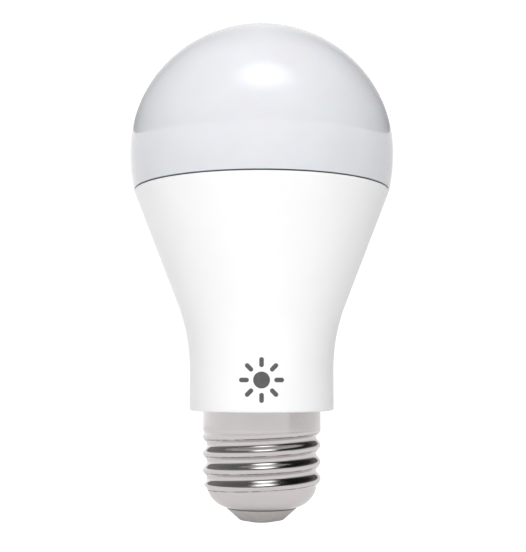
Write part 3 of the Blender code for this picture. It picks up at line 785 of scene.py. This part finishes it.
# Name, two colours, roughness, and how the streaks are stretched.
INNER_METALS = {
    "aluminium": ("cast_aluminium", (0.74, 0.75, 0.76), (0.80, 0.81, 0.82), 0.40, (6, 6, 0.4)),
    "zinc": ("zinc_steel", (0.66, 0.67, 0.70), (0.72, 0.73, 0.74), 0.32, (1, 1, 1)),
    "tin": ("tinned_steel", (0.72, 0.72, 0.70), (0.78, 0.78, 0.76), 0.3, (1, 1, 1)),
    "copper": ("copper_wire", (0.66, 0.31, 0.17), (0.75, 0.38, 0.22), 0.32, (1, 1, 1)),
}
# Name, two colours, roughness, and size of the grain in millimetres.
INNER_PLASTICS = {
    "pad": ("silicone_pad", (0.42, 0.47, 0.53), (0.48, 0.53, 0.58), 0.75, 0.5),
    "white_mask": ("white_solder_mask", (0.82, 0.83, 0.82), (0.88, 0.88, 0.87), 0.4, 0.4),
    "green_mask": ("green_solder_mask", (0.02, 0.16, 0.07), (0.03, 0.21, 0.09), 0.35, 0.4),
    "led": ("led_body", (0.80, 0.70, 0.30), (0.86, 0.78, 0.40), 0.35, 0.1),
    "colour_led": ("colour_led_body", (0.78, 0.79, 0.80), (0.86, 0.87, 0.88), 0.3, 0.1),
    "black": ("black_plastic", (0.02, 0.02, 0.021), (0.035, 0.035, 0.036), 0.45, 0.15),
    "sleeve": ("capacitor_sleeve", (0.03, 0.04, 0.07), (0.05, 0.06, 0.10), 0.3, 0.3),
    "film": ("film_yellow", (0.72, 0.47, 0.06), (0.80, 0.54, 0.09), 0.42, 0.3),
    "varistor": ("varistor_blue", (0.035, 0.12, 0.36), (0.05, 0.16, 0.43), 0.35, 0.3),
    "ferrite": ("ferrite", (0.07, 0.07, 0.075), (0.11, 0.11, 0.115), 0.6, 0.1),
    "tape": ("winding_tape", (0.68, 0.48, 0.07), (0.76, 0.55, 0.10), 0.35, 0.5),
    "glass_sleeve": ("resistor_sleeve", (0.78, 0.76, 0.70), (0.88, 0.86, 0.80), 0.75, 0.1),
    "black_wire": ("lead_insulation_black", (0.03, 0.03, 0.03), (0.045, 0.045, 0.045), 0.5, 0.2),
    "white_wire": ("lead_insulation_white", (0.80, 0.80, 0.79), (0.86, 0.86, 0.85), 0.5, 0.2),
}
INNER_NODES = {
    "aluminium": ["heatsink_cup"],
    "pad": ["thermal_pad"],
    "white_mask": ["led_board"],
    "green_mask": ["radio_board", "driver_board"],
    "led": [f"white_led_{number:02d}" for number in range(1, 13)],
    "colour_led": [f"colour_led_{number}" for number in range(1, 5)],
    "zinc": [f"board_screw_{number}" for number in range(1, 4)],
    "tin": ["radio_shield_can", "supply_pin_1", "supply_pin_2"],
    "copper": ["antenna"],
    "black": [
        "radio_header", "transformer_bobbin", "bridge_rectifier", "driver_chip", "radio_supply_chip",
        "output_rectifier", "supply_socket",
    ],
    "sleeve": ["input_capacitor", "output_capacitor"],
    "film": ["film_capacitor"],
    "varistor": ["varistor"],
    "ferrite": ["transformer_core", "filter_inductor"],
    "tape": ["transformer_winding"],
    "glass_sleeve": ["fusible_resistor"],
    "black_wire": ["line_lead"],
    "white_wire": ["neutral_lead"],
}


def dress_inner_nodes():
    """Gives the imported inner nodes, which keep their CAD shapes, their own materials."""
    materials = {key: simple_metal(*look) for key, look in INNER_METALS.items()}
    materials.update({key: simple_plastic(*look) for key, look in INNER_PLASTICS.items()})
    for key, names in INNER_NODES.items():
        for name in names:
            for material_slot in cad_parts[name].material_slots:
                material_slot.material = materials[key]


# ---------------------------------------------------------------- stage, light, camera


FLOOR_ALBEDO = 0.35
FLOOR_GLOW = 0.66
FLOOR_WHITE = 1.1
FLOOR_LIT_RADIUS = 9.0
FLOOR_HALF_SIZE = 0.30
FLOOR_GAP = 0.1
# Share of the studio's and the floor's light that matt surfaces get. Mirrors get all of it.
DIFFUSE_SHARE = 0.66


def build_floor():
    """A white light table. The eye sees it evenly white; its glow fades out close under the bulb, a
    painted shadow seen only in reflections and bounce light.
    """
    nodes = Nodes("floor")
    tree = nodes.tree
    nodes.set(Base_Color=(FLOOR_ALBEDO, FLOOR_ALBEDO, FLOOR_ALBEDO, 1), Roughness=1.0)
    nodes.set(Emission_Color=(1, 1, 1, 1))
    distance = nodes.add("ShaderNodeVectorMath")
    distance.operation = "LENGTH"
    nodes.link(nodes.position, distance.inputs[0])
    lit_radius = FLOOR_LIT_RADIUS * MM
    # Painted shadow: the glow falls to nothing right under the bulb, where its own shadow would fall.
    glow = map_range(tree, distance.outputs["Value"], 0.0, lit_radius, 0.0, FLOOR_GLOW, smooth=True)
    path = nodes.add("ShaderNodeLightPath")
    soft = map_range(tree, path.outputs["Is Diffuse Ray"], 0.0, 1.0, 1.0, DIFFUSE_SHARE)
    dimmed = calculate(tree, "MULTIPLY", glow, soft)
    white = calculate(tree, "MULTIPLY", path.outputs["Is Camera Ray"], FLOOR_WHITE)
    seen = calculate(tree, "MAXIMUM", dimmed, white)
    nodes.link(seen, nodes.shader.inputs["Emission Strength"])
    mesh = bpy.data.meshes.new("floor")
    half = FLOOR_HALF_SIZE
    corners = [(-half, -half, 0), (half, -half, 0), (half, half, 0), (-half, half, 0)]
    mesh.from_pydata(corners, [], [(0, 1, 2, 3)])
    mesh.materials.append(nodes.material)
    floor = bpy.data.objects.new("floor", mesh)
    floor.location.z = CAD_BOX[0][2] - FLOOR_GAP * MM
    bpy.context.scene.collection.objects.link(floor)


# Greys of the studio's walls, by how far round they are: 0 behind, 0.25 left, 0.5 front, 0.75 right.
WALL_GREYS = [
    (0.0, 1.20), (0.07, 1.18), (0.14, 1.12), (0.19, 1.04), (0.26, 0.98), (0.33, 0.93), (0.42, 0.89),
    (0.650, 0.89), (0.658, 0.66), (0.72, 0.75), (0.79, 0.83), (0.89, 0.90), (0.96, 0.94), (1.0, 1.20),
]
# Above the walls: greys of the upper part and the ceiling, by the sine of the elevation.
WALL_TOP = (0.279, 0.288)
WALL_TILT = 0.033
LEFT_CEILING = [(WALL_TOP[1], 0.14), (0.34, 0.15), (0.42, 0.26), (0.70, 0.17), (0.87, 0.12)]
RIGHT_CEILING = [(WALL_TOP[1], 0.07), (0.34, 0.08), (0.42, 0.15), (0.58, 0.02), (0.87, 0.0)]
BACK_CEILING = [(0.31, 0.5), (0.45, 0.85), (0.9, 0.85), (0.98, 0.2)]
BACK_PLACE = (0.35, 0.75)
SIDE_BLEND = 0.5
BACKDROP_WHITE = 1.1


def build_world():
    """The studio that the bulb mirrors: pale walls, a darker panel on the right, and a dark ceiling.

    The eye sees plain white instead.
    """
    world = bpy.data.worlds.new("studio")
    bpy.context.scene.world = world
    world.use_nodes = True
    tree = world.node_tree
    direction = tree.nodes.new("ShaderNodeTexCoord").outputs["Generated"]
    parts = tree.nodes.new("ShaderNodeSeparateXYZ")
    tree.links.new(direction, parts.inputs["Vector"])
    height = tree.nodes.new("ShaderNodeVectorMath")
    height.operation = "DOT_PRODUCT"
    height.inputs[1].default_value = (0, WALL_TILT, 1)
    tree.links.new(direction, height.inputs[0])
    front = calculate(tree, "MULTIPLY", parts.outputs["Y"], -1.0)
    round_angle = calculate(tree, "ARCTAN2", parts.outputs["X"], front)
    turn = map_range(tree, round_angle, -math.pi, math.pi, 0.0, 1.0)
    walls = grey_ramp(tree, turn, WALL_GREYS)
    side = map_range(tree, parts.outputs["X"], -SIDE_BLEND, SIDE_BLEND, 0.0, 1.0)
    left = grey_ramp(tree, height.outputs["Value"], LEFT_CEILING)
    right = grey_ramp(tree, height.outputs["Value"], RIGHT_CEILING)
    back = grey_ramp(tree, height.outputs["Value"], BACK_CEILING)
    sideways = calculate(tree, "ABSOLUTE", parts.outputs["X"])
    backwards = calculate(tree, "SUBTRACT", parts.outputs["Y"], sideways)
    behind = map_range(tree, backwards, *BACK_PLACE, 0.0, 1.0)
    ceiling = mix_colours(tree, side, left, right)
    ceiling = mix_colours(tree, behind, ceiling, back)
    above = map_range(tree, height.outputs["Value"], *WALL_TOP, 0.0, 1.0)
    studio = mix_colours(tree, above, walls, ceiling)
    path = tree.nodes.new("ShaderNodeLightPath")
    seen = mix_colours(tree, path.outputs["Is Camera Ray"], studio, (BACKDROP_WHITE,) * 3)
    soft = map_range(tree, path.outputs["Is Diffuse Ray"], 0.0, 1.0, 1.0, DIFFUSE_SHARE)
    background = tree.nodes["Background"]
    tree.links.new(seen, background.inputs["Color"])
    tree.links.new(soft, background.inputs["Strength"])


def area_light(name, location, target, size, power):
    data = bpy.data.lights.new(name, "AREA")
    data.shape = "RECTANGLE"
    data.size, data.size_y = size
    data.energy = power
    light = bpy.data.objects.new(name, data)
    light.location = location
    light.rotation_euler = (Vector(target) - Vector(location)).to_track_quat("-Z", "Y").to_euler()
    bpy.context.scene.collection.objects.link(light)
    return light


KEY_ELEVATION = 60.0
KEY_SIDE = 0.02
KEY_DISTANCE = 0.8
KEY_SIZE = (0.72, 0.54)
KEY_POWER = 3.6
KEY_FADE = (0.12, 0.5)
# Fills, which glossy surfaces don't mirror: place, size and power.
FILLS = {
    "front_fill": ((-0.05, -1.15, 0.10), 0.5, 7.0),
    "top_fill": ((0.0, -0.25, 1.0), 0.8, 7.0),
    "back_fill": ((0.1, 1.1, 0.35), 0.6, 3.2),
}


def build_lights():
    """A soft box high in front, bright in its middle, and broad fills in front, above and behind."""
    middle = (0, 0, (CAD_BOX[0][2] + CAD_BOX[1][2]) / 2)
    rise = math.radians(KEY_ELEVATION)
    key_at = (KEY_SIDE, -KEY_DISTANCE * math.cos(rise), middle[2] + KEY_DISTANCE * math.sin(rise))
    key = area_light("key", key_at, middle, KEY_SIZE, KEY_POWER)
    soften(key.data)
    for name, (place, size, power) in FILLS.items():
        fill = area_light(name, place, middle, (size, size), power)
        fill.visible_glossy = False


def soften(light_data):
    """Lets a soft box fade from its middle to its edge."""
    light_data.use_nodes = True
    tree = light_data.node_tree
    place = tree.nodes.new("ShaderNodeNewGeometry").outputs["Parametric"]
    distance = tree.nodes.new("ShaderNodeVectorMath")
    distance.operation = "DISTANCE"
    middle = (0.5, 0.5, 0.0)
    distance.inputs[1].default_value = middle
    tree.links.new(place, distance.inputs[0])
    fade = map_range(tree, distance.outputs["Value"], *KEY_FADE, 1.0, 0.0, smooth=True)
    tree.links.new(fade, tree.nodes["Emission"].inputs["Strength"])


# The eye's place in metres, its upward tilt in degrees, and its lens in millimetres.
EYE_PLACE = (0.0003, -0.2429, 0.03326)
EYE_PITCH = 4.919
LENS = 70.9
SENSOR = 36.0


def build_camera():
    data = bpy.data.cameras.new("camera")
    data.lens = LENS
    data.sensor_width = SENSOR
    data.sensor_fit = "AUTO"
    data.clip_start = 0.01
    data.clip_end = 50
    camera = bpy.data.objects.new("camera", data)
    camera.location = EYE_PLACE
    camera.rotation_euler = (math.radians(90 + EYE_PITCH), 0, 0)
    bpy.context.scene.collection.objects.link(camera)
    bpy.context.scene.camera = camera


# ---------------------------------------------------------------- assembly

build_globe(opal_plastic())
build_seal(seal_rubber())
build_housing(white_plastic())
build_screw_shell(nickel_plate())
build_insulator(grey_insulator())
build_contact(contact_metal())
build_pictogram(printed_ink())
dress_inner_nodes()
build_floor()
build_world()
build_lights()
build_camera()
bpy.context.scene.view_settings.view_transform = "Standard"
